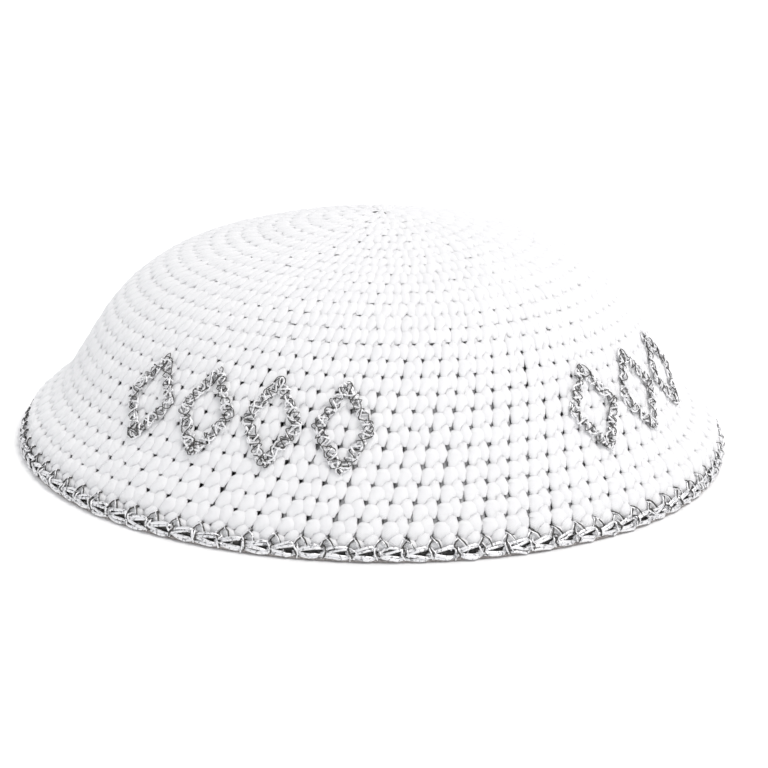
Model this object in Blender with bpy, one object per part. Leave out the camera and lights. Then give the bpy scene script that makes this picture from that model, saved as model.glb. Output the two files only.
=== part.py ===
import math

import bmesh
import bpy
import numpy as np
from mathutils import Vector

# Driving sizes, in metres
CAP_RADIUS = 0.095
ROUNDS = 27
FIRST_ROUND = 0.6
RIB_DEPTH = 0.0008
WALL = 0.0026
EDGING_HEIGHT = 0.0037
EDGING_BULGE = 0.0005
REST_WIDTH = 0.0028
JOIN_GAP = 0.0003
FIGURE_GAP = 0.0003
STROKE_WIDTH = 0.0030
STROKE_THICKNESS = 0.0009
SHOULDER_LIFT = 0.0021
OVAL = 0.031
OVAL_TURN = 13.0
LINK_ROOM = 0.0023

# Facet counts
CAP_SIDES = 60
EDGING_SIDES = 72
INNER_STEPS = 13
STROKE_STEP = 0.0038

# Slope of the side, crown to rim: share of the way down, degrees below level
SLOPES = (
    (0.0000, 0.0),
    (0.0625, 5.5),
    (0.1250, 9.7),
    (0.1875, 12.1),
    (0.2500, 13.8),
    (0.3750, 16.6),
    (0.4375, 23.1),
    (0.5000, 32.3),
    (0.5625, 40.6),
    (0.6250, 48.3),
    (0.6875, 56.0),
    (0.7500, 60.1),
    (0.8125, 53.3),
    (0.8750, 46.4),
    (0.9375, 53.4),
    (1.0000, 71.4),
)

# Right and left end: share of the way down, metres further out at the right end, at the left end
END_SHAPE = (
    (0.60, 0.0000, 0.0000),
    (0.70, -0.0006, -0.0005),
    (0.78, -0.0011, -0.0006),
    (0.86, -0.0030, -0.0015),
    (0.93, 0.0009, 0.0005),
    (1.00, -0.0019, -0.0019),
)
END_SHARPNESS = 8

# Share of the way down where the raised shoulder ends
SHOULDER_FOOT_SHARE = 0.7

# Band of diamonds: shares of the way down for its upper and lower line
BAND_TOP_SHARE = 0.642
BAND_FOOT_SHARE = 0.836

# Section of the edging, outer side first: share of its height, share of the bulge
EDGING_OUTER = (
    (0.00, -1.0),
    (0.10, 0.6),
    (0.30, 1.0),
    (0.48, 0.5),
    (0.60, 1.0),
    (0.86, 1.0),
)

# Rows of diamonds round half of the cap: name, first and last edge in degrees, how many
DIAMOND_ROWS = (
    ("left", -140.0, -89.0, 4),
    ("right", -53.0, -10.0, 3),
)


def clear_scene():
    """Empties the scene, so the script starts from nothing."""
    for item in list(bpy.data.objects):
        bpy.data.objects.remove(item, do_unlink=True)


def make_profile(steps=800):
    """Radius, height and slope at even steps from the crown to the rim's lower edge."""
    way = np.linspace(0.0, 1.0, steps + 1)
    slope = np.radians(np.interp(way, [row[0] for row in SLOPES], [row[1] for row in SLOPES]))
    out = (np.cos(slope[1:]) + np.cos(slope[:-1])) / 2
    down = (np.sin(slope[1:]) + np.sin(slope[:-1])) / 2
    radius = np.concatenate([[0.0], np.cumsum(out)])
    drop = np.concatenate([[0.0], np.cumsum(down)])
    scale = CAP_RADIUS / radius[-1]
    return way, radius * scale, (drop[-1] - drop) * scale, slope, steps * scale


WAY, RADIUS, HEIGHT, SLOPE, LENGTH = make_profile()
CAP_FOOT = 1.0 - (EDGING_HEIGHT + JOIN_GAP) / LENGTH
EDGING_TOP = 1.0 - EDGING_HEIGHT / LENGTH


def section_point(way, out):
    """Radius and height at a share of the way down, moved outward by a depth."""
    radius = float(np.interp(way, WAY, RADIUS))
    height = float(np.interp(way, WAY, HEIGHT))
    slope = float(np.interp(way, WAY, SLOPE))
    return radius + out * math.sin(slope), height + out * math.cos(slope)


def shoulder(turn, way):
    """How far the one shoulder stands above the even round shape."""
    side = max(0.0, math.cos(turn)) ** 2
    down = min(max(way / SHOULDER_FOOT_SHARE, 0.0), 1.0)
    return SHOULDER_LIFT * side * math.sin(math.pi * down) ** 2


def end_shape(turn, way):
    """How much further out the surface stands near the right and left end."""
    column = 1 if math.cos(turn) > 0 else 2
    out = np.interp(way, [row[0] for row in END_SHAPE], [row[column] for row in END_SHAPE])
    return float(out) * abs(math.cos(turn)) ** END_SHARPNESS


def place(turn, way, radius, height):
    """Point at a turn in radians, with the cap's slightly oval outline and shaped ends."""
    radius *= 1.0 + OVAL * math.cos(2 * (turn - math.radians(OVAL_TURN)))
    radius += end_shape(turn, way)
    return Vector((radius * math.cos(turn), radius * math.sin(turn), height))


def surface_point(turn, way, out):
    """Point on the cap at a turn in radians and a share of the way down."""
    radius, height = section_point(way, out)
    return place(turn, way, radius, height + shoulder(turn, way))


def make_material(name, colour, roughness, metallic):
    """One plain material for a sub-part."""
    material = bpy.data.materials.new(name)
    material.use_nodes = True
    shader = material.node_tree.nodes["Principled BSDF"]
    shader.inputs["Base Color"].default_value = (*colour, 1.0)
    shader.inputs["Roughness"].default_value = roughness
    shader.inputs["Metallic"].default_value = metallic
    return material


def make_object(name, points, faces, material, sharp):
    """Named object from points and faces, with its faces turned outward."""
    mesh = bpy.data.meshes.new(name)
    mesh.from_pydata([tuple(point) for point in points], [], faces)
    work = bmesh.new()
    work.from_mesh(mesh)
    bmesh.ops.recalc_face_normals(work, faces=work.faces)
    work.to_mesh(mesh)
    work.free()
    mesh.shade_smooth()
    mesh.set_sharp_from_angle(angle=math.radians(sharp))
    mesh.materials.append(material)
    item = bpy.data.objects.new(name, mesh)
    bpy.context.scene.collection.objects.link(item)
    return item


def ring_faces(first, second, sides):
    """Quads between two rings of points, given by the index of their first points."""
    return [
        (first + k, first + (k + 1) % sides, second + (k + 1) % sides, second + k)
        for k in range(sides)
    ]


def build_cap(material):
    """White crocheted cap: a hollow shell with one round rib for each round of stitches."""
    turns = [2 * math.pi * k / CAP_SIDES for k in range(CAP_SIDES)]
    points = [surface_point(0.0, 0.0, 0.0)]
    rings = []
    joints = [FIRST_ROUND + n for n in range(ROUNDS)]
    joints[-1] = float(ROUNDS)
    for before, joint in zip([FIRST_ROUND - 1.0] + joints, joints):
        for share, out in (((before + joint) / 2, 0.0), (joint, -RIB_DEPTH)):
            if share > 0.25:
                rings.append(len(points))
                way = CAP_FOOT * share / ROUNDS
                points.extend(surface_point(turn, way, out) for turn in turns)
    for step in range(INNER_STEPS, 0, -1):
        way = CAP_FOOT * step / INNER_STEPS
        rings.append(len(points))
        points.extend(surface_point(turn, way, -RIB_DEPTH - WALL) for turn in turns)
    faces = []
    for first, second in zip(rings, rings[1:]):
        faces.extend(ring_faces(first, second, CAP_SIDES))
    points.append(surface_point(0.0, 0.0, -RIB_DEPTH - WALL))
    for k in range(CAP_SIDES):
        after = (k + 1) % CAP_SIDES
        faces.append((0, rings[0] + after, rings[0] + k))
        faces.append((len(points) - 1, rings[-1] + k, rings[-1] + after))
    return make_object("crochet_cap", points, faces, material, 60)


def build_edging(material):
    """Silver edging: one ring below the cap, flat where it rests."""
    span = 1.0 - EDGING_TOP
    section = []
    for share, bulge in EDGING_OUTER:
        way = EDGING_TOP + span * share
        section.append((way, *section_point(way, EDGING_BULGE * bulge)))
    section.append((1.0, CAP_RADIUS + 0.2 * EDGING_BULGE, 0.0))
    section.append((1.0, CAP_RADIUS - REST_WIDTH, 0.0))
    for way in (EDGING_TOP + 0.5 * span, EDGING_TOP):
        section.append((way, *section_point(way, -RIB_DEPTH - WALL)))
    points = []
    rings = []
    for way, radius, height in section:
        rings.append(len(points))
        for k in range(EDGING_SIDES):
            points.append(place(2 * math.pi * k / EDGING_SIDES, way, radius, height))
    faces = []
    for first, second in zip(rings, rings[1:] + rings[:1]):
        faces.extend(ring_faces(first, second, EDGING_SIDES))
    return make_object("silver_edging", points, faces, material, 50)


def diamond_path(width, height):
    """Points in metres along the middle of a diamond's stroke, at even steps on each side."""
    side = Vector((width / 2, 0.0))
    foot = Vector((0.0, height / 2))
    corners = [-foot, side, foot, -side]
    steps = max(1, round((corners[1] - corners[0]).length / STROKE_STEP))
    return [
        start.lerp(stop, step / steps)
        for start, stop in zip(corners, corners[1:] + corners[:1])
        for step in range(steps)
    ]


def stroke_sides(path):
    """Points on either side of a closed path, half a stroke off, mitred at the corners."""
    sides = []
    for k, point in enumerate(path):
        first = (point - path[k - 1]).normalized()
        second = (path[(k + 1) % len(path)] - point).normalized()
        across = Vector((-first.y - second.y, first.x + second.x)).normalized()
        reach = STROKE_WIDTH / 2 / across.dot(Vector((-first.y, first.x)))
        sides.append((point + across * reach, point - across * reach))
    return sides


def build_diamond(name, middle, width, material):
    """One raised diamond of silver thread, lying on the cap's outer face."""
    centre = (BAND_TOP_SHARE + BAND_FOOT_SHARE) / 2
    radius = section_point(centre, 0.0)[0]
    height = (BAND_FOOT_SHARE - BAND_TOP_SHARE) * LENGTH - STROKE_WIDTH
    path = diamond_path(math.radians(width) * radius - 2 * LINK_ROOM, height)
    points = []
    for left, right in stroke_sides(path):
        for side, depth in ((left, 0.0), (right, 0.0), (right, 1.0), (left, 1.0)):
            turn = math.radians(middle) + side.x / radius
            way = centre - side.y / LENGTH
            points.append(surface_point(turn, way, FIGURE_GAP + depth * STROKE_THICKNESS))
    faces = []
    for k in range(len(path)):
        faces.extend(ring_faces(4 * k, 4 * ((k + 1) % len(path)), 4))
    return make_object(name, points, faces, material, 40)


def build_all():
    """The whole cap: white shell, silver edging and two like halves of the band of diamonds."""
    clear_scene()
    cotton = make_material("white_cotton", (0.90, 0.90, 0.91), 0.9, 0.0)
    braid = make_material("silver_braid", (0.62, 0.62, 0.64), 0.35, 0.85)
    thread = make_material("silver_thread", (0.38, 0.38, 0.40), 0.45, 0.75)
    build_cap(cotton)
    build_edging(braid)
    for half, word in enumerate(("front", "back")):
        for row, first, last, count in DIAMOND_ROWS:
            width = (last - first) / count
            for k in range(count):
                middle = first + width * (k + 0.5) + 180.0 * half
                build_diamond(f"diamond_{word}_{row}_{k + 1}", middle, width, thread)


build_all()
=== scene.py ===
import math

import bpy
import numpy as np
from mathutils import Matrix, Vector


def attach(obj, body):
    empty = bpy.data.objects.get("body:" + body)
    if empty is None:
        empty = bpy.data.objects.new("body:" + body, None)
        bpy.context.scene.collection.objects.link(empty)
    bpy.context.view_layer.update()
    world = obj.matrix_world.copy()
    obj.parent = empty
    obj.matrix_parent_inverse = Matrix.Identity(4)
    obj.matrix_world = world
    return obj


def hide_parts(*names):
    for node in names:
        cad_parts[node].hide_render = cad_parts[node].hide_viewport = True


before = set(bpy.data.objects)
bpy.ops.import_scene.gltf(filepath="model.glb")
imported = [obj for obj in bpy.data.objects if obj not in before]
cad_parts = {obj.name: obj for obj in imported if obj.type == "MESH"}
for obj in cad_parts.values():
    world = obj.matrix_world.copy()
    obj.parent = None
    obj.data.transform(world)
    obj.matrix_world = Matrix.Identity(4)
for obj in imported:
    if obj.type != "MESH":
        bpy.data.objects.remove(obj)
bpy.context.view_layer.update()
RNG = np.random.default_rng(seed=20)

# One millimetre in metres, the millimetres in a metre, and a length too small to matter
MM = 0.001
MM_IN_METRE = 1000
TINY = 1e-12

# The cap, as in the part's source: sizes in metres, and shares of the way down from crown to rim
CAP_RADIUS = 0.095
EDGING_HEIGHT = 0.0037
SHOULDER_LIFT = 0.0021
SHOULDER_FOOT_SHARE = 0.7
OVAL = 0.031
OVAL_TURN = math.radians(13.0)
ROUNDS = 27
BAND_TOP_SHARE = 0.642
BAND_FOOT_SHARE = 0.836
STROKE_WIDTH = 0.0030
LINK_ROOM = 0.0023

# Slope of the side, crown to rim: share of the way down, degrees below level
SLOPES = (
    (0.0000, 0.0), (0.0625, 5.5), (0.1250, 9.7), (0.1875, 12.1), (0.2500, 13.8), (0.3750, 16.6),
    (0.4375, 23.1), (0.5000, 32.3), (0.5625, 40.6), (0.6250, 48.3), (0.6875, 56.0), (0.7500, 60.1),
    (0.8125, 53.3), (0.8750, 46.4), (0.9375, 53.4), (1.0000, 71.4),
)

# Right and left end: share of the way down, metres further out at the right end, at the left end
END_SHAPE = (
    (0.60, 0.0000, 0.0000), (0.70, -0.0006, -0.0005), (0.78, -0.0011, -0.0006),
    (0.86, -0.0030, -0.0015), (0.93, 0.0009, 0.0005), (1.00, -0.0019, -0.0019),
)
END_SHARPNESS = 8

# Rows of diamonds round half of the cap: name, first and last edge in degrees, how many
DIAMOND_ROWS = (("left", -140.0, -89.0, 4), ("right", -53.0, -10.0, 3))

# Spiral of stitches: how many a full round has, how many more than the last each round near the crown has,
# how many it starts from, and the smallest round that is counted
FULL_ROUND = 95.23
ADDED = 6.15
CROWN_STITCHES = 1.2
SMALLEST_ROUND = 0.45

# Rows of the spiral, counted in rounds from the crown. The last round is what lies within half a round of its
# number. Each round ends in a smooth step at the back, which takes a share of a turn and ends at one angle.
FIRST_ROW = 0.1
HALF_ROUND = 0.5
LAST_ROW = ROUNDS - HALF_ROUND
STEP_SHARE = 70.0 / 360.0
STEP_END = math.radians(125.0)

# Pieces of the right side and of the wrong side: name, and the two rows that each lies between
OUTER_PIECES = (
    ("crown", 0.0, 13.6), ("side", 13.6, 20.6), ("rim", 20.6, LAST_ROW), ("last", LAST_ROW, math.inf),
)
INNER_PIECES = (("upper", 0.0, 17.6), ("lower", 17.6, math.inf))

# Stitches are tight above one row and open at their seams below another. Towards the cap's left and right end
# they open less, by one share in all. It starts at a share of the radius to the left and one to the right, and
# is whole after a further share.
TIGHT_ROW = 12.0
OPEN_ROW = 19.0
ENDS_CLOSED = 0.48
LEFT_END_FROM = 0.1
RIGHT_END_FROM = 0.5
END_REACH = 0.5

# Light: the sky, and one soft lamp above the cap and a little to the right, in metres and watts
SKY_COLOUR = (0.965, 0.975, 1.0, 1.0)
SKY_STRENGTH = 0.70
LAMP_PLACE = (0.40, -0.20, 0.93)
LAMP_TARGET = (0.0, 0.0, 0.03)
LAMP_SIZE = 0.45
LAMP_POWER = 4.85
LAMP_COLOUR = (1.0, 0.972, 0.95)

# Camera of the photo, looking at the cap's foot: distance, angles, and its lens and centre in pixels
CAMERA_DISTANCE = 4.5 * CAP_RADIUS
CAMERA_HEIGHT = math.radians(19.85)
CAMERA_ROLL = math.radians(1.71)
PICTURE_PIXELS = 768
FOCAL_PIXELS = 1517.7
CENTRE_PIXELS = (374.6, 423.5)
SENSOR_WIDTH = 36.0


# The cap's surface

def make_profile(steps=1600):
    """Radius, height and slope at even steps from the crown to the rim, and the length of the way."""
    way = np.linspace(0.0, 1.0, steps + 1)
    slope = np.radians(np.interp(way, [row[0] for row in SLOPES], [row[1] for row in SLOPES]))
    out = (np.cos(slope[1:]) + np.cos(slope[:-1])) / 2
    down = (np.sin(slope[1:]) + np.sin(slope[:-1])) / 2
    radius = np.concatenate([[0.0], np.cumsum(out)])
    drop = np.concatenate([[0.0], np.cumsum(down)])
    scale = CAP_RADIUS / radius[-1]
    return radius * scale, (drop[-1] - drop) * scale, slope, steps * scale


RADIUS, HEIGHT, SLOPE, LENGTH = make_profile()
WAY = np.linspace(0.0, LENGTH, len(RADIUS))
PITCH = (LENGTH - EDGING_HEIGHT) / ROUNDS


def radius_at(s):
    """Radius at a way down from the crown in metres."""
    return np.interp(s, WAY, RADIUS)


def on_cap(turn, s, out):
    """Points at turns in radians, ways down from the crown in metres, and depths outward."""
    beyond = np.maximum(s - LENGTH, 0.0)
    s_in = np.clip(s, 0.0, LENGTH)
    slope = np.interp(s_in, WAY, SLOPE)
    radius = np.interp(s_in, WAY, RADIUS) + out * np.sin(slope) + beyond * np.cos(slope)
    height = np.interp(s_in, WAY, HEIGHT) + out * np.cos(slope) - beyond * np.sin(slope)
    side = np.maximum(np.cos(turn), 0.0) ** 2
    down = np.clip(s_in / LENGTH / SHOULDER_FOOT_SHARE, 0, 1)
    height = height + SHOULDER_LIFT * side * np.sin(np.pi * down) ** 2
    radius = radius * (1.0 + OVAL * np.cos(2 * (turn - OVAL_TURN)))
    shares, right, left = np.array(END_SHAPE).T
    share = s_in / LENGTH
    ends = np.where(np.cos(turn) > 0, np.interp(share, shares, right), np.interp(share, shares, left))
    radius = radius + ends * np.abs(np.cos(turn)) ** END_SHARPNESS
    return np.stack([radius * np.cos(turn), radius * np.sin(turn), height], axis=-1)


# Strands

def smooth_path(points, rings):
    """Smooth line through control points; points has its control axis last but one."""
    points = np.asarray(points, float)
    count = points.shape[-2]
    first = 2 * points[..., :1, :] - points[..., 1:2, :]
    last = 2 * points[..., -1:, :] - points[..., -2:-1, :]
    padded = np.concatenate([first, points, last], axis=-2)
    at = np.linspace(0, count - 1, rings)
    cell = np.minimum(at.astype(int), count - 2)
    t = (at - cell)[:, None]
    a, b, c, d = (padded[..., cell + k, :] for k in range(4))
    square = 2 * a - 5 * b + 4 * c - d
    cube = 3 * b - a - 3 * c + d
    return 0.5 * (2 * b + (c - a) * t + square * t ** 2 + cube * t ** 3)


def tube_rings(path, radius, sides, flat=1.0, reference=(1.0, 0.0, 0.0)):
    """Rings of points round each path: (strands, rings, sides, 3), in metres on cloth laid flat."""
    tangent = np.gradient(path, axis=-2)
    tangent /= np.linalg.norm(tangent, axis=-1, keepdims=True) + TINY
    reference = np.broadcast_to(np.asarray(reference, float), tangent.shape)
    side = reference - (reference * tangent).sum(-1, keepdims=True) * tangent
    side /= np.linalg.norm(side, axis=-1, keepdims=True) + TINY
    rise = np.cross(side, tangent)
    angle = np.linspace(0, 2 * np.pi, sides, endpoint=False)
    across = side[..., None, :] * np.cos(angle)[:, None]
    upward = rise[..., None, :] * np.sin(angle)[:, None] * flat
    return path[..., None, :] + (across + upward) * radius[..., None, None]


def length_along(line, longest_start=10):
    """Millimetres along each line, from a random start, so that neighbours don't wind alike."""
    steps = np.linalg.norm(np.diff(line, axis=1), axis=-1) * MM_IN_METRE
    along = np.concatenate([np.zeros((len(line), 1)), np.cumsum(steps, axis=1)], axis=1)
    return along + RNG.uniform(0, longest_start, (len(line), 1))


class Soup:
    """Gathers tubes of quads with a strand coordinate in the UV map: millimetres along, turns round."""

    def __init__(self):
        self.points = []
        self.faces = []
        self.marks = []
        self.depths = []
        self.count = 0

    def add(self, rings, along, depth):
        """rings (strands, rings, sides, 3) in metres; along in millimetres; depth outward in metres."""
        strands, length, sides = rings.shape[:3]
        base = self.count + np.arange(strands * length * sides).reshape(strands, length, sides)
        turned = np.roll(base, -1, axis=2)
        quads = np.stack([base[:, :-1], turned[:, :-1], turned[:, 1:], base[:, 1:]], axis=-1)
        self.points.append(rings.reshape(-1, 3))
        self.depths.append(np.broadcast_to(depth, rings.shape[:3]).reshape(-1) * MM_IN_METRE)
        self.faces.append(quads.reshape(-1, 4))
        v0 = np.broadcast_to(np.arange(sides) / sides, (strands, length - 1, sides))
        v1 = v0 + 1.0 / sides
        u0 = np.broadcast_to(along[:, :-1, None], v0.shape)
        u1 = np.broadcast_to(along[:, 1:, None], v0.shape)
        corners = ((u0, v0), (u0, v1), (u1, v1), (u1, v0))
        marks = np.stack([np.stack(corner, -1) for corner in corners], axis=-2)
        self.marks.append(marks.reshape(-1, 2))
        self.count += strands * length * sides

    def make(self, name, material):
        """Named object of all tubes, with the depth of each point in millimetres as an attribute."""
        points = np.concatenate(self.points).astype(np.float32)
        faces = np.concatenate(self.faces).astype(np.int32)
        marks = np.concatenate(self.marks).astype(np.float32)
        depths = np.concatenate(self.depths).astype(np.float32)
        starts = np.arange(0, faces.size, faces.shape[1], dtype=np.int32)
        mesh = bpy.data.meshes.new(name)
        mesh.vertices.add(len(points))
        mesh.vertices.foreach_set("co", points.ravel())
        mesh.loops.add(faces.size)
        mesh.loops.foreach_set("vertex_index", faces.ravel())
        mesh.polygons.add(len(faces))
        mesh.polygons.foreach_set("loop_start", starts)
        mesh.update(calc_edges=True)
        mesh.uv_layers.new(name="strand").data.foreach_set("uv", marks.ravel())
        mesh.attributes.new("depth", "FLOAT", "POINT").data.foreach_set("value", depths)
        mesh.shade_smooth()
        mesh.validate()
        mesh.materials.append(material)
        item = bpy.data.objects.new(name, mesh)
        bpy.context.scene.collection.objects.link(item)
        return item


# Materials

def new_material(name):
    """Material, its node tree and its shader."""
    material = bpy.data.materials.new(name)
    material.use_nodes = True
    tree = material.node_tree
    return material, tree, tree.nodes["Principled BSDF"]


def add_node(tree, kind, inputs, **settings):
    """Adds a node with its settings; each input is a value, or another node's output to link."""
    node = tree.nodes.new(kind)
    for setting, choice in settings.items():
        setattr(node, setting, choice)
    for socket, value in inputs.items():
        if isinstance(value, bpy.types.NodeSocket):
            tree.links.new(value, node.inputs[socket])
        else:
            node.inputs[socket].default_value = value
    return node


def add_math(tree, operation, *values):
    """Result of a Math node; each value is a number, or another node's output."""
    return add_node(tree, "ShaderNodeMath", dict(enumerate(values)), operation=operation).outputs[0]


def add_range(tree, value, low, high, start=0.0, end=1.0):
    """Value moved from between start and end to between low and high."""
    inputs = {"Value": value, "From Min": start, "From Max": end, "To Min": low, "To Max": high}
    return add_node(tree, "ShaderNodeMapRange", inputs).outputs["Result"]


def add_noise(tree, scale, detail):
    """Even noise in the object's own space, with about scale blots in a metre."""
    place = add_node(tree, "ShaderNodeTexCoord", {}).outputs["Object"]
    inputs = {"Vector": place, "Scale": scale, "Detail": detail}
    return add_node(tree, "ShaderNodeTexNoise", inputs).outputs["Fac"]


def add_ramp(tree, value, low, dark, high, light):
    """Colour that goes from dark where the value is low to light where it is high."""
    ramp = add_node(tree, "ShaderNodeValToRGB", {"Fac": value})
    for stop, at, colour in zip(ramp.color_ramp.elements, (low, high), (dark, light)):
        stop.position = at
        stop.color = (*colour, 1.0)
    return ramp.outputs["Color"]


def add_bump(tree, shader, height, strength, distance):
    """Bumps on the surface, distance metres high."""
    inputs = {"Height": height, "Strength": strength, "Distance": distance}
    bump = add_node(tree, "ShaderNodeBump", inputs)
    tree.links.new(bump.outputs["Normal"], shader.inputs["Normal"])


def strand_place(tree):
    """Millimetres along the strand, and turns round it."""
    mark = add_node(tree, "ShaderNodeUVMap", {}, uv_map="strand")
    split = add_node(tree, "ShaderNodeSeparateXYZ", {0: mark.outputs["UV"]})
    return split.outputs["X"], split.outputs["Y"]


def cotton_material(name, bright, dim, darkest, whole, left):
    """White cotton yarn: plies that wind round it, soft fibres, slight unevenness.

    Painted shade darkens the colour between two depths, in millimetres outward: at darkest a share of it is
    left, and at whole it is unshaded.
    """
    plies = 3
    turns_per_mm = 0.55
    fibre_share = 0.45
    material, tree, shader = new_material(name)
    along, about = strand_place(tree)
    ply = add_math(tree, "MULTIPLY_ADD", along, turns_per_mm, about)
    wave = add_math(tree, "SINE", add_math(tree, "MULTIPLY", ply, 2 * math.pi * plies))
    rope = add_math(tree, "ABSOLUTE", wave)
    fibre = add_noise(tree, scale=2600.0, detail=3.0)
    relief = add_math(tree, "MULTIPLY_ADD", fibre, fibre_share, rope)
    add_bump(tree, shader, relief, strength=0.35, distance=0.00022)
    cloud = add_noise(tree, scale=160.0, detail=2.0)
    colour = add_ramp(tree, cloud, 0.3, dim, 0.7, bright)
    # Painted shade: the colour is multiplied by a share set by each point's depth
    depth = add_node(tree, "ShaderNodeAttribute", {}, attribute_name="depth").outputs["Fac"]
    shade = add_range(tree, depth, left, 1.0, start=darkest, end=whole)
    inputs = {"Factor": 1.0, "A": colour, "B": shade}
    shaded = add_node(tree, "ShaderNodeMix", inputs, data_type="RGBA", blend_type="MULTIPLY")
    tree.links.new(shaded.outputs["Result"], shader.inputs["Base Color"])
    tree.links.new(add_range(tree, fibre, 0.72, 0.95), shader.inputs["Roughness"])
    shader.inputs["Sheen Weight"].default_value = 0.25
    shader.inputs["Sheen Roughness"].default_value = 0.5
    shader.inputs["Specular IOR Level"].default_value = 0.3
    return material


def silver_material(name, dark, light, low, high, wind_share, smooth, rough, metallic):
    """Metallised thread: a foil strip wound on a core, so bright and dark turns follow each other.

    Colour and bumps come from specks and a share of the winding, dark below low and light above high. The
    roughness goes from smooth to rough.
    """
    winds_per_mm = 0.9
    material, tree, shader = new_material(name)
    along, about = strand_place(tree)
    wind = add_math(tree, "MULTIPLY_ADD", along, winds_per_mm, about)
    wave = add_math(tree, "SINE", add_math(tree, "MULTIPLY", wind, 2 * math.pi))
    speck = add_noise(tree, scale=1500.0, detail=2.0)
    relief = add_math(tree, "MULTIPLY_ADD", wave, wind_share, speck)
    tree.links.new(add_ramp(tree, relief, low, dark, high, light), shader.inputs["Base Color"])
    tree.links.new(add_range(tree, speck, smooth, rough), shader.inputs["Roughness"])
    add_bump(tree, shader, relief, strength=0.4, distance=0.0001)
    shader.inputs["Metallic"].default_value = metallic
    return material


# White rounds

def lay_stitches():
    """Turn, way down, width and row of each stitch, one spiral with its step at the back."""
    stitches = []
    rounds = 0.0
    while True:
        whole = math.floor(rounds)
        part = rounds - whole
        step = min(max((part - (1.0 - STEP_SHARE)) / STEP_SHARE, 0.0), 1.0)
        row = whole + FIRST_ROW + step * step * (3 - 2 * step)
        if row > ROUNDS + HALF_ROUND:
            break
        row = min(row, ROUNDS + FIRST_ROW)
        count = min(ADDED * max(row, SMALLEST_ROUND) + CROWN_STITCHES, FULL_ROUND)
        width = 2 * math.pi * float(radius_at(row * PITCH)) / count
        stitches.append((STEP_END + 2 * math.pi * rounds, row * PITCH, width, row))
        rounds += 1.0 / count
    return tuple(np.array(values) for values in zip(*stitches))


def pick_rows(stitches, low, high):
    """The stitches between two rows."""
    rows = stitches[-1]
    return tuple(values[(rows > low) & (rows <= high)] for values in stitches)


def openness(turns, rows):
    """How far each stitch opens at its seams, from 0 to 1."""
    down = np.clip((rows - TIGHT_ROW) / (OPEN_ROW - TIGHT_ROW), 0.0, 1.0)
    across = np.cos(turns)
    near_end = np.maximum(-across - LEFT_END_FROM, across - RIGHT_END_FROM) / END_REACH
    return down * (1.0 - ENDS_CLOSED * np.clip(near_end, 0.0, 1.0))


# Left and right lobe of a stitch, where it is tight and where it is open. Each row is a point of the strand:
# share of the stitch's width, share of a round down, millimetres out, and radius as a share of the width.
LEFT_TIGHT = (
    (0.37, -0.12, -0.48, 0.20), (0.37, 0.08, -0.20, 0.31), (0.37, 0.30, 0.02, 0.41),
    (0.33, 0.50, 0.06, 0.42), (0.24, 0.70, 0.03, 0.35), (0.18, 0.87, -0.06, 0.29),
    (0.16, 1.02, -0.18, 0.23), (0.16, 1.14, -0.38, 0.16),
)
LEFT_OPEN = (
    (0.40, 0.00, -0.90, 0.16), (0.39, 0.12, -0.28, 0.29), (0.38, 0.30, 0.02, 0.41),
    (0.33, 0.49, 0.08, 0.41), (0.25, 0.66, 0.02, 0.28), (0.21, 0.81, -0.14, 0.22),
    (0.21, 0.96, -0.34, 0.19), (0.23, 1.07, -0.70, 0.11),
)
RIGHT_TIGHT = (
    (0.96, -0.42, -0.62, 0.11), (0.93, -0.26, -0.38, 0.15), (0.87, -0.04, -0.17, 0.28),
    (0.81, 0.18, 0.02, 0.37), (0.78, 0.40, 0.02, 0.38), (0.78, 0.60, -0.03, 0.33),
    (0.79, 0.78, -0.12, 0.26), (0.80, 0.96, -0.34, 0.18),
)
RIGHT_OPEN = (
    (0.95, -0.31, -0.80, 0.10), (0.92, -0.17, -0.50, 0.13), (0.86, 0.01, -0.20, 0.23),
    (0.80, 0.20, 0.02, 0.36), (0.79, 0.39, 0.02, 0.37), (0.81, 0.55, -0.06, 0.265),
    (0.83, 0.70, -0.25, 0.18), (0.83, 0.85, -0.60, 0.11),
)
LOBES = ((LEFT_TIGHT, LEFT_OPEN), (RIGHT_TIGHT, RIGHT_OPEN))

# The same for the last round, whose stitches are cut short by the edging
LEFT_LAST = (
    (0.38, 0.00, -0.90, 0.16), (0.34, 0.12, -0.28, 0.28), (0.31, 0.28, 0.00, 0.35),
    (0.28, 0.42, -0.10, 0.35), (0.26, 0.54, -0.50, 0.30), (0.25, 0.64, -1.10, 0.22),
)
RIGHT_LAST = (
    (0.98, -0.36, -0.65, 0.12), (0.97, -0.22, -0.30, 0.16), (0.93, -0.04, -0.05, 0.26),
    (0.88, 0.16, 0.00, 0.34), (0.84, 0.32, -0.10, 0.35), (0.81, 0.46, -0.50, 0.30),
    (0.80, 0.58, -1.10, 0.22),
)
LAST_LOBES = ((LEFT_LAST, LEFT_LAST), (RIGHT_LAST, RIGHT_LAST))

# Yarn that shows at the bottom of the notch between the two lobes
NOTCH_TIGHT = (
    (0.62, 0.45, -1.10, 0.14), (0.57, 0.68, -0.85, 0.17),
    (0.48, 0.92, -0.60, 0.18), (0.38, 1.12, -0.70, 0.16),
)
NOTCH_OPEN = (
    (0.60, 0.40, -0.90, 0.14), (0.56, 0.66, -0.58, 0.18),
    (0.50, 0.92, -0.38, 0.18), (0.44, 1.12, -0.80, 0.12),
)
NOTCH = (NOTCH_TIGHT, NOTCH_OPEN)

# Strands of the wrong side, a bar across each stitch and a post down it: the same, but radius in millimetres
BAR = (
    (-0.35, 0.57, -2.75, 0.38), (-0.15, 0.67, -2.42, 0.66), (0.10, 0.70, -2.30, 0.72),
    (0.35, 0.67, -2.42, 0.66), (0.55, 0.57, -2.75, 0.38),
)
POST = (
    (0.27, -0.44, -1.50, 0.62), (0.22, -0.14, -1.45, 0.92),
    (0.13, 0.25, -1.85, 0.85), (0.05, 0.60, -2.30, 0.55),
)
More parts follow.
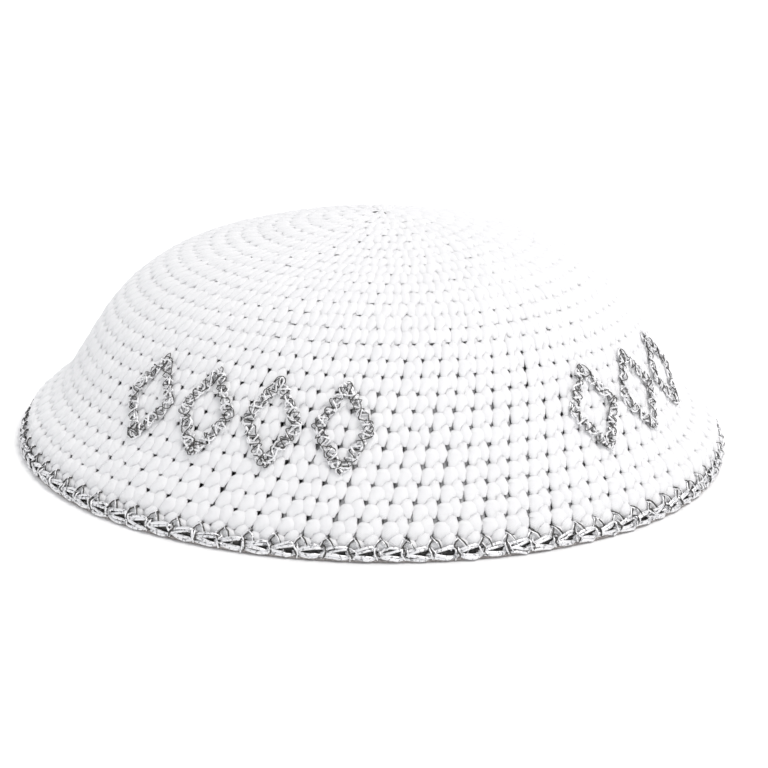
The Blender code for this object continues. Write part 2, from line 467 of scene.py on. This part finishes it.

# The yarn is pressed flatter than round and leans a little. A face further inward than a share of the radius
# counts as turned inward, and on the wrong side it is marked with one depth, in metres, which keeps painted
# shade off it.
LOBE_FLATNESS = 0.47
LOBE_TILT = -0.08
INWARD_SHARE = 0.6
BACK_DEPTH = -0.0032

# Unevenness of each point of a strand, of each whole strand, and of its thickness
POINT_UNEVEN = np.array([0.010, 0.010, 0.03, 0.0])
STRAND_UNEVEN = np.array([0.020, 0.020, 0.05, 0.0])
THICKNESS_UNEVEN = 0.03


def lay_strands(soup, stitches, tables, share, unit, sides, rings, flat=LOBE_FLATNESS, inward=0.0):
    """Adds one strand of every stitch, a share of the way from one table to the other.

    The radius is the table's last column times unit. The face turned to the wrong side is marked with the
    depth given as inward, so the painted shade, which follows depth, can differ there.
    """
    turn, way, width, _ = stitches
    tight, opened = tables
    count = len(turn)
    share = np.broadcast_to(share, count)[:, None, None]
    control = np.asarray(tight, float) * (1 - share) + np.asarray(opened, float) * share
    control = control + RNG.normal(0.0, 1.0, control.shape) * POINT_UNEVEN
    control = control + RNG.normal(0.0, 1.0, (count, 1, 4)) * STRAND_UNEVEN
    line = smooth_path(control, rings)
    uneven = 1 + THICKNESS_UNEVEN * RNG.normal(size=(count, 1))
    thick = np.broadcast_to(unit, count)[:, None] * line[..., 3] * uneven
    line = line[..., :3]
    line[..., 0] = (line[..., 0] - 0.5) * width[:, None]
    line[..., 1] = (line[..., 1] - 0.5) * PITCH
    line[..., 2] = line[..., 2] * MM - thick * flat
    tubes = tube_rings(line, thick, sides, flat, (1.0, 0.0, -LOBE_TILT))
    angle = turn[:, None, None] + tubes[..., 0] / radius_at(way)[:, None, None]
    points = on_cap(angle, way[:, None, None] + tubes[..., 1], tubes[..., 2])
    turned_in = tubes[..., 2] < (line[..., 2] - INWARD_SHARE * thick * flat)[..., None]
    soup.add(points, length_along(line), np.where(turned_in, inward, tubes[..., 2]))


def build_cotton(stitches, outer, inner):
    """Stitches of the right side in four pieces, and bars and posts of the wrong side in two."""
    pieces = []
    for name, low, high in OUTER_PIECES:
        picked = pick_rows(stitches, low, high)
        turns, _, widths, rows = picked
        share = openness(turns, rows)
        soup = Soup()
        for tables in LAST_LOBES if name == "last" else LOBES:
            lay_strands(soup, picked, tables, share, widths, sides=8, rings=8)
        lay_strands(soup, picked, NOTCH, share, widths, sides=5, rings=4)
        pieces.append(soup.make(f"cotton_stitches_{name}", outer))
    for name, low, high in INNER_PIECES:
        picked = pick_rows(stitches, low, high)
        soup = Soup()
        for table, rings in ((BAR, 6), (POST, 4)):
            tables = (table, table)
            lay_strands(soup, picked, tables, 0.0, MM, sides=5, rings=rings, flat=1.0, inward=BACK_DEPTH)
        pieces.append(soup.make(f"cotton_back_{name}", inner))
    for piece in pieces:
        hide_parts("crochet_cap")
    return pieces


# Silver diamonds

# Thread of a stroke: winds per metre, reach to the side, rise, how far it swings up and down, and radius,
# in metres
LIGHT_THREADS = (
    (300.0, 0.00120, 0.00045, 0.00034, 0.00026),
    (-240.0, 0.00125, 0.00050, 0.00034, 0.00026),
    (60.0, 0.00075, 0.00055, 0.00020, 0.00028),
    (-45.0, 0.00105, 0.00040, 0.00015, 0.00026),
)
# Painted shadow: thin near-black threads among the silver ones stand in for the shaded gaps of the stroke
SHADOW_THREADS = (
    (-330.0, 0.00125, 0.00060, 0.00036, 0.00013),
    (270.0, 0.00115, 0.00065, 0.00034, 0.00012),
    (110.0, 0.00125, 0.00060, 0.00030, 0.00012),
)

# Tangle of a thread: how far its winding, reach and rise sway, in radians or metres, and radians in a metre
WIND_SWAY = (1.1, 900)
REACH_SWAY = (0.00028, 1300)
RISE_SWAY = (0.0001, 700)
THREAD_UNEVEN = 0.00004

# Steps along a stroke: of its middle line, of threads that wind fast, and of those that wind slowly
LINE_STEP = 0.0005
FAST_STEP = 0.00030
SLOW_STEP = 0.0007
FAST_WINDS = 100


def diamond_line(width, height, closing=4):
    """Points along the middle of a diamond's stroke, with the first few again to close it."""
    top = (0.0, -height / 2)
    corners = np.array([top, (width / 2, 0.0), (0.0, height / 2), (-width / 2, 0.0), top])
    parts = []
    for start, stop in zip(corners, corners[1:]):
        count = int(round(np.linalg.norm(stop - start) / LINE_STEP))
        parts.append(start + (stop - start) * (np.arange(count) / count)[:, None])
    return np.vstack(parts + [parts[0][:closing]])


def sway(at, size_and_speed, start):
    """A slow wave along a thread."""
    size, speed = size_and_speed
    return size * np.sin(at * speed + start)


def lay_thread(soup, threads, line, middle, centre, radius, smoothing=5):
    """Fine threads wound and tangled along the stroke of one diamond."""
    ahead = np.gradient(line, axis=0)
    window = np.ones(smoothing) / smoothing
    ahead = np.stack([np.convolve(ahead[:, k], window, "same") for k in (0, 1)], -1)
    ahead /= np.linalg.norm(ahead, axis=1, keepdims=True) + TINY
    across = np.stack([-ahead[:, 1], ahead[:, 0]], -1)
    along = np.concatenate([[0], np.cumsum(np.linalg.norm(np.diff(line, axis=0), axis=1))])
    for winds, reach, rise, swing, thick in threads:
        step = FAST_STEP if abs(winds) > FAST_WINDS else SLOW_STEP
        fine = np.linspace(0, along[-1], int(along[-1] / step))
        base = np.stack([np.interp(fine, along, line[:, k]) for k in (0, 1)], -1)
        side = np.stack([np.interp(fine, along, across[:, k]) for k in (0, 1)], -1)
        start = RNG.uniform(0, 2 * np.pi, 4)
        phase = 2 * np.pi * fine * winds + start[0] + sway(fine, WIND_SWAY, start[1])
        off = (reach + sway(fine, REACH_SWAY, start[2])) * np.cos(phase)
        up = rise + swing * np.sin(phase) + sway(fine, RISE_SWAY, start[3])
        path = np.concatenate([base + side * off[:, None], up[:, None]], 1)
        path = path + RNG.normal(0, THREAD_UNEVEN, path.shape)
        sizes = np.full((1, len(fine)), thick)
        tubes = tube_rings(path[None], sizes, sides=4, reference=(0.3, 0.2, 1.0))
        points = on_cap(middle + tubes[..., 0] / radius, centre - tubes[..., 1], tubes[..., 2])
        soup.add(points, np.broadcast_to(fine * MM_IN_METRE, (1, len(fine))), tubes[..., 2])


def build_diamonds(bright, dark):
    """Light thread of each diamond and near-black thread standing in as painted shadow between its strands, in
    two like halves of the band.
    """
    pieces = []
    centre = (BAND_TOP_SHARE + BAND_FOOT_SHARE) / 2 * LENGTH
    radius = float(radius_at(centre))
    height = (BAND_FOOT_SHARE - BAND_TOP_SHARE) * LENGTH - STROKE_WIDTH
    # The dark threads and their pieces are painted shadow
    kinds = (("light", LIGHT_THREADS, bright), ("dark", SHADOW_THREADS, dark))
    for half, word in enumerate(("front", "back")):
        for row, first, last, count in DIAMOND_ROWS:
            width = math.radians(last - first) / count
            line = diamond_line(width * radius - 2 * LINK_ROOM, height)
            for k in range(count):
                middle = math.radians(first + 180.0 * half) + width * (k + 0.5)
                for kind, threads, material in kinds:
                    soup = Soup()
                    lay_thread(soup, threads, line, middle, centre, radius)
                    piece = soup.make(f"thread_{kind}_{word}_{row}_{k + 1}", material)
                    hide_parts(f"diamond_{word}_{row}_{k + 1}")
                    pieces.append(piece)
    return pieces


# Silver edging

# How far the edging's legs reach up into the last white round, in rounds
LEG_REACH = 0.45

# Rings that close the underside, in silver thread darkened as painted shade: metres up from the foot, metres
# outward, radius
UNDER_RINGS = (
    (0.0005, -0.0003, 0.00055), (0.0000, -0.0009, 0.00050), (0.0000, -0.0017, 0.00050),
    (0.0003, -0.0025, 0.00050), (0.0011, -0.0030, 0.00050), (0.0020, -0.0031, 0.00050),
    (0.0029, -0.0030, 0.00050), (0.0037, -0.0029, 0.00050),
)

# Rings of near-black thread behind the chain, painted shadow between its links: the same
SHADOW_RINGS = ((0.0010, -0.0009, 0.0006), (0.0020, -0.0010, 0.0006), (0.0030, -0.0012, 0.0006))

# Unevenness of the edging: stitches round, metres down, metres outward, and share of the thickness
EDGE_UNEVEN = np.array([0.03, 0.00010, 0.00006])
EDGE_THICKNESS_UNEVEN = 0.08


def lay_edge(soup, turn, control, sizes, sides, rings, wobble=1.0, reference=(1.0, 0.0, 0.0)):
    """Adds the same strand at each turn round the rim, with the radii given as sizes.

    Each control point has stitches round, metres down from the crown, and metres outward.
    """
    count = len(turn)
    width = 2 * math.pi * CAP_RADIUS / FULL_ROUND
    control = np.repeat(np.asarray(control, float)[None], count, axis=0)
    control = control + RNG.normal(0.0, 1.0, control.shape) * EDGE_UNEVEN * wobble
    control[..., 0] *= width
    line = smooth_path(control, rings)
    sizes = np.interp(np.linspace(0, 1, rings), np.linspace(0, 1, len(sizes)), sizes)
    uneven = 1 + EDGE_THICKNESS_UNEVEN * RNG.normal(size=(count, 1))
    thick = np.repeat(sizes[None], count, axis=0) * uneven
    tubes = tube_rings(line, thick, sides, reference=reference)
    angle = turn[:, None, None] + tubes[..., 0] / CAP_RADIUS
    points = on_cap(angle, tubes[..., 1], tubes[..., 2])
    points[..., 2] = np.maximum(points[..., 2], 0.0)
    soup.add(points, length_along(line), tubes[..., 2])


def lay_ring(soup, s, out, thick, sides=6, steps=202):
    """Adds one strand that runs all the way round the rim."""
    turn = np.linspace(0, 2 * np.pi, steps + 1)
    angle = np.linspace(0, 2 * np.pi, sides, endpoint=False)
    down = s + thick * np.cos(angle)[None] + 0 * turn[:, None]
    away = out + thick * np.sin(angle)[None] + 0 * turn[:, None]
    points = on_cap(turn[:, None] + 0 * down, down, away)
    points[..., 2] = np.maximum(points[..., 2], 0.0)
    soup.add(points[None], (turn * CAP_RADIUS * MM_IN_METRE)[None], away[None])


def lay_legs(legs, core, seams):
    """Two legs from each seam hole of the last white round down to the chain, near-black thread beside them as
    painted shadow.
    """
    hole = (ROUNDS - LEG_REACH) * PITCH
    top = LENGTH - EDGING_HEIGHT
    for right, lift in ((-0.30, 0.0), (0.30, 0.0002)):
        for soup, shift in ((legs, 0.18), (core, 0.25)):
            lay_edge(soup, seams, (
                (shift, hole - 0.0004, -0.0016),
                (shift, hole + 0.0003, -0.0001 + lift),
                (right * 0.5 + shift, hole * 0.5 + top * 0.5 + 0.0003, 0.00035 + lift),
                (right + shift, top + 0.0010, 0.0004 + lift),
            ), sizes=(0.00014, 0.00017, 0.00018, 0.00018), sides=5, rings=7)


def lay_chain(chain, seams):
    """Lower and upper half of each link of the chain, each of two strands that part in the middle."""
    foot = LENGTH
    strand = {"sides": 6, "rings": 8, "wobble": 1.5, "reference": (0.0, 1.0, 0.0)}
    for rise, out in ((-0.00028, 0.0), (0.00032, 0.0001)):
        lay_edge(chain, seams, (
            (-0.02, foot - 0.0017, -0.0003),
            (0.12, foot - 0.0020 - rise, 0.0002 + out),
            (0.45, foot - 0.0026 - rise, 0.0005 + out),
            (0.85, foot - 0.0031 - rise, 0.0005 + out),
            (1.10, foot - 0.0029, -0.0002),
        ), sizes=(0.00024, 0.00030, 0.00036, 0.00034, 0.00024), **strand)
        lay_edge(chain, seams, (
            (-0.02, foot - 0.0016, -0.0002),
            (0.15, foot - 0.0014 - rise, 0.0003 + out),
            (0.50, foot - 0.0011 - rise, 0.0006 + out),
            (0.85, foot - 0.0009 - rise, 0.0005 + out),
            (1.12, foot - 0.0012, -0.0002),
        ), sizes=(0.00024, 0.00032, 0.00040, 0.00036, 0.00024), **strand)


def lay_ties(chain, core, seams):
    """Short threads over each join of two links, one of them near-black as painted shadow."""
    foot = LENGTH
    for soup, shift, low in ((chain, 0.0, 0.0006), (core, 0.06, 0.0009), (chain, 0.13, 0.0013)):
        lay_edge(soup, seams, (
            (shift, foot - 0.0036, -0.0001),
            (shift + 0.03, foot - 0.0028, 0.0008),
            (shift + 0.08, foot - 0.0018, 0.0011),
            (shift + 0.13, foot - low, 0.0006),
        ), sizes=(0.00018, 0.00024, 0.00024, 0.00018), sides=5, rings=7, wobble=2.0)


def build_edging(stitches, bright, shaded_silver, dark):
    """The edging in four pieces: legs, underside in painted shade, near-black threads of painted shadow, and
    chain.
    """
    last_turns = pick_rows(stitches, LAST_ROW, math.inf)[0]
    seams = last_turns - math.pi / FULL_ROUND
    legs = Soup()
    under = Soup()
    # core gathers the near-black threads of painted shadow
    core = Soup()
    chain = Soup()
    lay_legs(legs, core, seams)
    for soup, rings in ((under, UNDER_RINGS), (core, SHADOW_RINGS)):
        for rise, out, thick in rings:
            lay_ring(soup, LENGTH - rise, out, thick)
    lay_chain(chain, seams)
    lay_ties(chain, core, seams)
    pieces = [
        legs.make("silver_legs", bright),
        under.make("silver_under", shaded_silver),
        core.make("silver_shadow_threads", dark),
        chain.make("silver_chain", bright),
    ]
    for piece in pieces:
        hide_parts("silver_edging")
    return pieces


# Floor, light and camera

def build_stage():
    """Pale floor that bends up into a wall behind, and glows a little from the cap's rim outward."""
    mesh = bpy.data.meshes.new("floor")
    size = 3.0
    run = 1.2
    bend = 1.6
    bend_points = 16
    wall_top = 4.0
    profile = [(-size, 0.0), (run, 0.0)]
    for angle in np.linspace(0, math.pi / 2, bend_points)[1:]:
        profile.append((run + bend * math.sin(angle), bend - bend * math.cos(angle)))
    profile.append((run + bend, wall_top))
    points = [(x, y, z) for y, z in profile for x in (-size, size)]
    faces = [(2 * k, 2 * k + 1, 2 * k + 3, 2 * k + 2) for k in range(len(profile) - 1)]
    mesh.from_pydata(points, [], faces)
    mesh.shade_smooth()
    item = bpy.data.objects.new("floor", mesh)
    bpy.context.scene.collection.objects.link(item)
    material, tree, shader = new_material("pale_floor")
    shader.inputs["Base Color"].default_value = (0.95, 0.95, 0.95, 1.0)
    shader.inputs["Roughness"].default_value = 0.9
    shader.inputs["Emission Color"].default_value = (1.0, 1.0, 1.0, 1.0)
    # Painted light: the floor glows from just outside the cap's rim outward, filling in the cap's shadow
    # there, and has no glow under the cap, so the cap's inside stays dark
    place = add_node(tree, "ShaderNodeTexCoord", {}).outputs["Object"]
    reach = add_node(tree, "ShaderNodeVectorMath", {0: place}, operation="LENGTH").outputs["Value"]
    glow = add_range(tree, reach, 0.0, 0.35, start=0.092, end=0.13)
    tree.links.new(glow, shader.inputs["Emission Strength"])
    mesh.materials.append(material)


def build_light():
    """An even sky and one soft lamp."""
    world = bpy.data.worlds.new("studio")
    world.use_nodes = True
    back = world.node_tree.nodes["Background"]
    back.inputs["Color"].default_value = SKY_COLOUR
    back.inputs["Strength"].default_value = SKY_STRENGTH
    bpy.context.scene.world = world
    data = bpy.data.lights.new("key", "AREA")
    data.shape = "DISK"
    data.size = LAMP_SIZE
    data.energy = LAMP_POWER
    data.color = LAMP_COLOUR
    item = bpy.data.objects.new("key", data)
    item.location = LAMP_PLACE
    item.rotation_euler = (Vector(LAMP_TARGET) - Vector(LAMP_PLACE)).to_track_quat("-Z", "Y").to_euler()
    bpy.context.scene.collection.objects.link(item)
    view = bpy.context.scene.view_settings
    view.view_transform = "Standard"
    view.look = "None"


def build_camera():
    """The photo's camera, in front of the cap and a little above it."""
    data = bpy.data.cameras.new("camera")
    data.sensor_width = SENSOR_WIDTH
    data.lens = FOCAL_PIXELS / PICTURE_PIXELS * SENSOR_WIDTH
    data.shift_x = (PICTURE_PIXELS / 2 - CENTRE_PIXELS[0]) / PICTURE_PIXELS
    data.shift_y = (CENTRE_PIXELS[1] - PICTURE_PIXELS / 2) / PICTURE_PIXELS
    data.clip_start = 0.01
    data.clip_end = 20.0
    item = bpy.data.objects.new("camera", data)
    where = Vector((0.0, -math.cos(CAMERA_HEIGHT), math.sin(CAMERA_HEIGHT))) * CAMERA_DISTANCE
    turn = (-where).to_track_quat("-Z", "Y").to_matrix().to_4x4()
    item.matrix_world = Matrix.Translation(where) @ turn @ Matrix.Rotation(CAMERA_ROLL, 4, "Z")
    bpy.context.scene.collection.objects.link(item)
    bpy.context.scene.camera = item


# Painted shade: the right side's yarn is darker the deeper it lies below the top of the stitches, so pits,
# seams and holes look dark
cotton_out = cotton_material(
    "cotton_yarn", bright=(0.93, 0.93, 0.935), dim=(0.89, 0.89, 0.90),
    darkest=-0.80, whole=-0.24, left=0.88,
)
# Painted shade: the wrong side's yarn is a little darker than the right side's, and darker again towards the
# outside of the cap's wall, where it is seen through the holes
cotton_in = cotton_material(
    "cotton_yarn_back", bright=(0.88, 0.88, 0.885), dim=(0.82, 0.82, 0.83),
    darkest=-1.5, whole=-3.2, left=0.95,
)
silver_bright = silver_material(
    "silver_foil", dark=(0.34, 0.34, 0.35), light=(0.98, 0.98, 0.99), low=0.33, high=0.47,
    wind_share=0.02, smooth=0.25, rough=0.45, metallic=0.6,
)
# Painted shade: the edging's silver thread made darker and browner for its underside in shade
silver_under_shaded = silver_material(
    "silver_under_painted_shade", dark=(0.27, 0.25, 0.24), light=(0.46, 0.43, 0.415), low=0.40, high=0.62,
    wind_share=0.05, smooth=0.35, rough=0.55, metallic=0.3,
)
# Painted shadow: near-black thread for the shaded gaps in the diamonds and behind and beside the edging's
# chain and legs
silver_painted_shadow = silver_material(
    "silver_shadow_core", dark=(0.04, 0.04, 0.04), light=(0.12, 0.115, 0.11), low=0.40, high=0.62,
    wind_share=0.05, smooth=0.45, rough=0.65, metallic=0.2,
)
silver_fine = silver_material(
    "silver_thread_fine", dark=(0.50, 0.50, 0.51), light=(0.98, 0.98, 0.99), low=0.30, high=0.46,
    wind_share=0.08, smooth=0.25, rough=0.45, metallic=0.35,
)

stitches = lay_stitches()
made = build_cotton(stitches, cotton_out, cotton_in)
made += build_diamonds(silver_fine, silver_painted_shadow)
made += build_edging(stitches, silver_bright, silver_under_shaded, silver_painted_shadow)
for piece in made:
    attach(piece, "root")
build_stage()
build_light()
build_camera()
